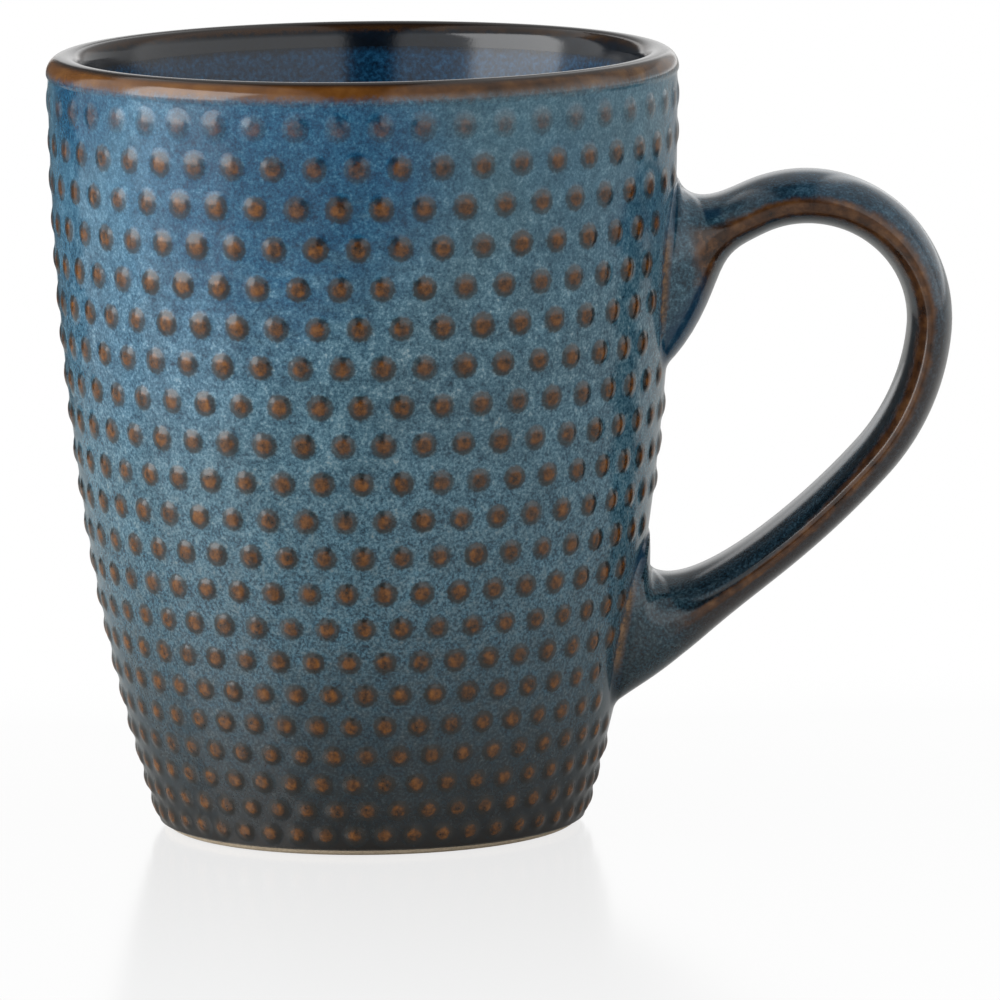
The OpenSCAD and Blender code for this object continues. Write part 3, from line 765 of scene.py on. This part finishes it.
def place_dots():
    """Copies the dot to every place, row by row, presses each copy onto the wall and joins them all."""
    master = one_dot()
    shape = [tuple(v.co) for v in master.data.vertices]
    edge_r = DOT_SECTION[0][0]
    rng = random.Random(5)
    copies = []
    for k in range(DOT_ROWS):
        z = row_z(k)
        slope = wall_slope(z)
        radius = wall_at(slope).x
        bow = BOW_UPPER if slope > JOIN_A else BOW_LOWER
        size = math.sqrt(radius / WALL_TOP_R)
        tall = TOP_TALL + MORE_TALL * smooth(k / ROWS_TO_TALL)
        browning = BURN_BY_ROW[k] if k < len(BURN_BY_ROW) else BURN_BELOW
        for j in range(DOTS_IN_ROW):
            around = FIRST_DOT + (j + (k % 2) * STAGGER) * math.tau / DOTS_IN_ROW
            y = radius * math.sin(around)
            if math.cos(around) > 0 and not all(clear_of(p, y, z) for p in PADS):
                continue
            width = size * rng.uniform(*UNEVEN_W)
            height = tall * rng.uniform(*UNEVEN_H)
            strong = min(1.0, browning * rng.uniform(*UNEVEN_BURN))
            dot = master.copy()
            dot.data = master.data.copy()
            scene.collection.objects.link(dot)
            for vertex, (u, v, h) in zip(dot.data.vertices, shape):
                at = wall_at(slope + v * width / bow, -h * height)
                turn = around + u * width / radius
                vertex.co = (at.x * math.cos(turn) * MM, at.x * math.sin(turn) * MM, at.y * MM)
            write_numbers(dot, rise=[1 - math.hypot(u, v) / edge_r for u, v, h in shape],
                          burn=[strong] * len(shape))
            copies.append(dot)
    bpy.data.objects.remove(master)
    bpy.ops.object.select_all(action="DESELECT")
    for dot in copies:
        dot.select_set(True)
    piece = copies[0]
    spare = [dot.data for dot in copies[1:]]
    bpy.context.view_layer.objects.active = piece
    bpy.ops.object.join()
    bpy.data.batch_remove(spare)
    piece.name = piece.data.name = "glazed_dots"
    bpy.ops.object.mode_set(mode="EDIT")
    bpy.ops.mesh.select_all(action="SELECT")
    bpy.ops.mesh.normals_make_consistent(inside=False)
    bpy.ops.object.mode_set(mode="OBJECT")
    bpy.ops.object.shade_smooth()
    return piece


glazed_dots = place_dots()
set_material(glazed_dots, dot_finish())
finished(glazed_dots, "dot_glaze", "slip_dots")

# ---------------------------------------------------------------- handle

RING_N = 64
STRAP_STEPS = 170
INTO_WALL = 5.5         # how far each end of the strap runs on into the wall
SNUG = 0.02             # keeps the smooth strap inside the outline of the faceted solid
BEAD_REACH = 1.2        # how far a bead spreads over the wall and up the pad
BEAD_STEPS = 7
BEAD_SUNK = 0.6         # the beads' backs lie under the glaze of the wall and the pad
BEAD_T = 0.25
BEAD_SEARCH, SEARCH_STEPS = 0.1, 90     # step along the strap, in looking for where it leaves the wall


def strap_ring(s, shift=0.0):
    point, out, inward, wide, lean, firmness = section(s)
    out -= SNUG
    across = polar(1, lean)
    middle = point + across * (out - inward) / 2 - Vector((shift, 0))
    half = (out + inward) / 2
    ring = []
    for i in range(RING_N):
        a = math.tau * i / RING_N
        y, t = (size * math.copysign(abs(v) ** (2 / firmness), v)
                for size, v in ((wide, math.cos(a)), (half, math.sin(a))))
        at = middle + across * t
        ring.append((at.x, y, at.y))
    return ring


def pulled_strap():
    """Sweeps the section of the strap from pad to pad and runs it on into the wall."""
    stops = [0.0, 0.0] + [STRAP_L * i / STRAP_STEPS for i in range(1, STRAP_STEPS)] + [STRAP_L, STRAP_L]
    rings = [strap_ring(s, INTO_WALL if k in (0, len(stops) - 1) else 0.0) for k, s in enumerate(stops)]
    piece = skinned("glazed_handle", rings)
    across, along = [], []
    for vertex in piece.data.vertices:
        k, i = divmod(vertex.index, RING_N + 1)
        across.append(math.sin(math.tau * i / RING_N))
        along.append(stops[k] / STRAP_L)
    write_numbers(piece, across=across, along=along)
    return sealed(piece, STRAP_EDGE, open_ends=True)


def joint_bead(name, s0, way):
    """A fillet of slip in the corner between a pad and the wall, all the way round the pad."""
    lines = [strap_ring(s0, INTO_WALL)]
    lines += [strap_ring(s0 + way * BEAD_SEARCH * k) for k in range(SEARCH_STEPS)]
    starts, tops = [], []
    for i in range(RING_N):
        line = [Vector(ring[i]) for ring in lines]
        over = [math.hypot(p.x, p.y) - wall_at(wall_slope(p.z)).x for p in line]
        k = next(k for k in range(1, len(line)) if over[k] > 0)
        start = line[k - 1].lerp(line[k], over[k - 1] / (over[k - 1] - over[k]))
        left, last = BEAD_REACH, start
        while left > (line[k] - last).length:
            left -= (line[k] - last).length
            last = line[k]
            k += 1
        starts.append(start)
        tops.append(last.lerp(line[k], left / (line[k] - last).length))
    middle = sum(starts, Vector()) / RING_N
    sections = []
    for i, (start, top) in enumerate(zip(starts, tops)):
        run = (starts[(i + 1) % RING_N] - starts[i - 1]).normalized()
        face = Vector((start.x, start.y, 0)).normalized()
        out = run.cross(face).normalized()
        if out.dot(start - middle) < 0:
            out = -out
        low = start + out * BEAD_REACH
        radius = wall_at(wall_slope(low.z)).x / math.hypot(low.x, low.y)
        low = Vector((low.x * radius, low.y * radius, low.z))
        curve = [low * (1 - t) ** 2 + start * 2 * t * (1 - t) + top * t * t
                 for t in (j / BEAD_STEPS for j in range(BEAD_STEPS + 1))]
        inside = middle - face * BEAD_SUNK
        back = [p + (inside - p).normalized() * BEAD_T for p in (top, start)] + [low - face * BEAD_T]
        sections.append([tuple(p) for p in curve + back])
    piece = skinned(name, sections, looped=True)
    across, rise = [], []
    for vertex in piece.data.vertices:
        i, j = divmod(vertex.index, len(sections[0]) + 1)
        across.append(math.sin(math.tau * i / RING_N))
        rise.append(min(1.0, j / BEAD_STEPS) if j < len(sections[0]) else 0.0)
    write_numbers(piece, across=across, rise=rise)
    return sealed(piece, BEAD_EDGE, open_ends=False)


glazed_handle = pulled_strap()
set_material(glazed_handle, handle_finish())
finished(glazed_handle, "handle_glaze", "handle_glaze")

pooled_and_shaded = pooled_and_shaded_finish()
for name, s0, way in (("upper_joint_slip", 0.0, 1), ("lower_joint_slip", STRAP_L, -1)):
    bead = joint_bead("glazed_" + name, s0, way)
    set_material(bead, pooled_and_shaded)
    finished(bead, "joint_slip", name)

# ---------------------------------------------------------------- clay left bare

bare = bare_finish()
for name in ("cup_body", "handle"):
    set_material(frame["nodes"][name], bare)


# ---------------------------------------------------------------- studio, in metres

TABLE_W = 8
AIM_Z = 0.055       # the soft boxes face a point halfway up the mug


def floor_finish():
    """Pale satin table top: it keeps the mug's shadow and a faint soft reflection, and runs out to white."""
    mat = new_material("pale_table_top")
    to_camera = node(mat, "LightPath").outputs["Is Camera Ray"]
    where = node(mat, "TexCoord").outputs["Object"]
    board = node(mat, "BsdfDiffuse", {"Color": linear("#d2d2cf")})
    sheen = node(mat, "BsdfGlossy", {"Color": (1, 1, 1, 1), "Roughness": 0.17})
    share = node(mat, "MapRange", {0: to_camera, 3: 0.14, 4: 0.9})
    top = node(mat, "MixShader", (share, board, sheen))

    # Seen straight, the top lifts toward white away from the foot and behind it
    white = node(mat, "Emission", {"Color": (1, 1, 1, 1), "Strength": 1.0})
    away = node(mat, "VectorMath", (where,), operation="LENGTH")
    far = node(mat, "MapRange", (away, 0.03, 0.3, 0.78, 1.0))
    back = node(mat, "MapRange", (node(mat, "SeparateXYZ", (where,)).outputs["Y"], -0.06, 0.14), **SOFT)
    lift = node(mat, "Math", (far, back), operation="MAXIMUM")
    lift = node(mat, "Math", (to_camera, lift), operation="MULTIPLY")
    node(mat, "OutputMaterial", {"Surface": node(mat, "MixShader", (lift, top, white))})
    return mat


bpy.ops.object.select_all(action="DESELECT")
bpy.ops.mesh.primitive_plane_add(size=TABLE_W)
table_top = bpy.context.object
table_top.name = "table_top"
set_material(table_top, floor_finish())


def bearing(azimuth, elevation):
    """Unit direction: azimuth from the front of the mug toward the handle, both in degrees."""
    a, e = math.radians(azimuth), math.radians(elevation)
    return Vector((math.sin(a) * math.cos(e), -math.cos(a) * math.cos(e), math.sin(e)))


def soft_box(name, azimuth, elevation, distance, wide, high, level):
    """A soft box that faces the mug. Level is its brightness, where 1 is plain white."""
    away = bearing(azimuth, elevation)
    bpy.ops.object.light_add(type="AREA", location=away * distance + Vector((0, 0, AIM_Z)))
    lamp = bpy.context.object
    lamp.name = name
    lamp.data.shape = "RECTANGLE"
    lamp.data.size, lamp.data.size_y = wide, high
    lamp.data.energy = level * math.pi * wide * high
    lamp.rotation_euler = away.to_track_quat("Z", "Y").to_euler()


# One large box lights the mug from the left; a weak one behind on the right touches the handle
soft_box("soft_box", azimuth=-71, elevation=22, distance=1.0, wide=0.82, high=0.88, level=3.7)
soft_box("back_light", azimuth=140, elevation=11, distance=1.2, wide=1.0, high=0.4, level=0.3)

# A grey flag behind on the left, out of the picture, darkens the left edge and the inner face of the handle
FLAG_WAY, FLAG_AWAY, FLAG_WIDE, FLAG_HIGH = -145, 0.37, 0.28, 0.4
FLAG_GAP = 0.0005       # it stands just clear of the table top
flag_finish = new_material("grey_flock_on_board")
flock = node(flag_finish, "BsdfDiffuse", {"Color": linear("#5c5c5c")})
node(flag_finish, "OutputMaterial", {"Surface": flock})
bpy.ops.object.select_all(action="DESELECT")
bpy.ops.mesh.primitive_plane_add(size=1)
flag = bpy.context.object
flag.name = "dark_flag"
flag.scale = (FLAG_WIDE, FLAG_HIGH, 1)
flag.rotation_euler = bearing(FLAG_WAY, 0).to_track_quat("Z", "Y").to_euler()
flag.location = bearing(FLAG_WAY, 0) * FLAG_AWAY + Vector((0, 0, FLAG_HIGH / 2 + FLAG_GAP))
bpy.ops.object.transform_apply(location=True, rotation=True, scale=True)
flag.visible_camera = False
set_material(flag, flag_finish)

# The room, in plain greys
world = bpy.data.worlds.new("studio")
scene.world = world
world.use_nodes = True
world.node_tree.nodes.clear()
way = node(world, "SeparateXYZ", (node(world, "TexCoord").outputs["Generated"],))
x, y, z = (way.outputs[axis] for axis in "XYZ")

# Behind the mug the room is white low down; it dims higher up and toward the left
behind = node(world, "MapRange", (y, 0.45, 0.7))
low_down = node(world, "MapRange", (z, 0.21, 0.34, 1.0, 0.35))
behind = node(world, "Math", (behind, low_down), operation="MULTIPLY")
to_left = node(world, "MapRange", (x, -0.45, -0.05, 0.35, 1.0))
behind = node(world, "Math", (behind, to_left), operation="MULTIPLY")

# Round the front it is brighter toward the right, with a dark gap where the viewer stands
off_gap = node(world, "Math", (node(world, "Math", (x, 0.06), operation="ADD"),), operation="ABSOLUTE")
gap = node(world, "MapRange", (off_gap, 0.17, 0.19))
fill = node(world, "MapRange", (x, -0.2, 0.2, 1.1, 1.4))
front = node(world, "Math", (gap, fill), operation="MULTIPLY")
level = node(world, "Math", (behind, front), operation="MAXIMUM")

# It is dim above the horizon behind on the right, which the crown mirrors, and dim overhead
high_right = node(world, "Math", (node(world, "MapRange", (x, 0.14, 0.26), **SOFT),
                                  node(world, "MapRange", (z, -0.04, 0.08), **SOFT)), operation="MULTIPLY")
right_behind = node(world, "MapRange", (y, 0.25, 0.5), **SOFT)
high_right = node(world, "Math", (high_right, right_behind), operation="MULTIPLY")
high_right = node(world, "Math", (high_right, 0.7), operation="MULTIPLY")
high_right = node(world, "Math", (1.0, high_right), operation="SUBTRACT")
level = node(world, "Math", (level, high_right), operation="MULTIPLY")
overhead = node(world, "Math", (node(world, "MapRange", (z, 0.3, 0.75)), 1.05), operation="MULTIPLY")
overhead = node(world, "Math", (1.6, overhead), operation="SUBTRACT")
level = node(world, "Math", (level, overhead), operation="MINIMUM")

# To the camera itself it is plain white
to_camera = node(world, "LightPath").outputs["Is Camera Ray"]
level = node(world, "Math", (level, to_camera), operation="MAXIMUM")
room = node(world, "Background", {"Color": (1, 1, 1, 1), "Strength": level})
node(world, "OutputWorld", {"Surface": room})

# ---------------------------------------------------------------- camera

FRAME = 1000
SENSOR = 36
LENS = 415.0
DISTANCE = 1.64565                  # in metres, from the middle of the mug
ABOVE, ROLL = math.radians(7.789), math.radians(-0.771)
MUG_LEFT, MUG_UP = 132.6, 62.1      # how far the middle of the mug lies off the middle of the frame


def place_camera():
    """Long lens in front of the mug and a little above it, as for a catalogue picture."""
    ahead = Vector((0, math.cos(ABOVE), -math.sin(ABOVE)))
    level_up = Vector((0, math.sin(ABOVE), math.cos(ABOVE)))
    right = math.cos(ROLL) * Vector((1, 0, 0)) + math.sin(ROLL) * level_up
    up = -math.sin(ROLL) * Vector((1, 0, 0)) + math.cos(ROLL) * level_up
    middle = Vector((0, 0, CUP_H * MM / 2))
    bpy.ops.object.camera_add(location=middle - ahead * DISTANCE)
    camera = bpy.context.object
    camera.data.lens = LENS
    camera.data.sensor_width = SENSOR
    focal = LENS / SENSOR * FRAME
    aim = (ahead + right * (MUG_LEFT / focal) - up * (MUG_UP / focal)).normalized()
    side = (right - aim * right.dot(aim)).normalized()
    top = side.cross(aim)
    camera.rotation_mode = "QUATERNION"
    camera.rotation_quaternion = Matrix((side, top, -aim)).transposed().to_quaternion()
    scene.camera = camera


place_camera()
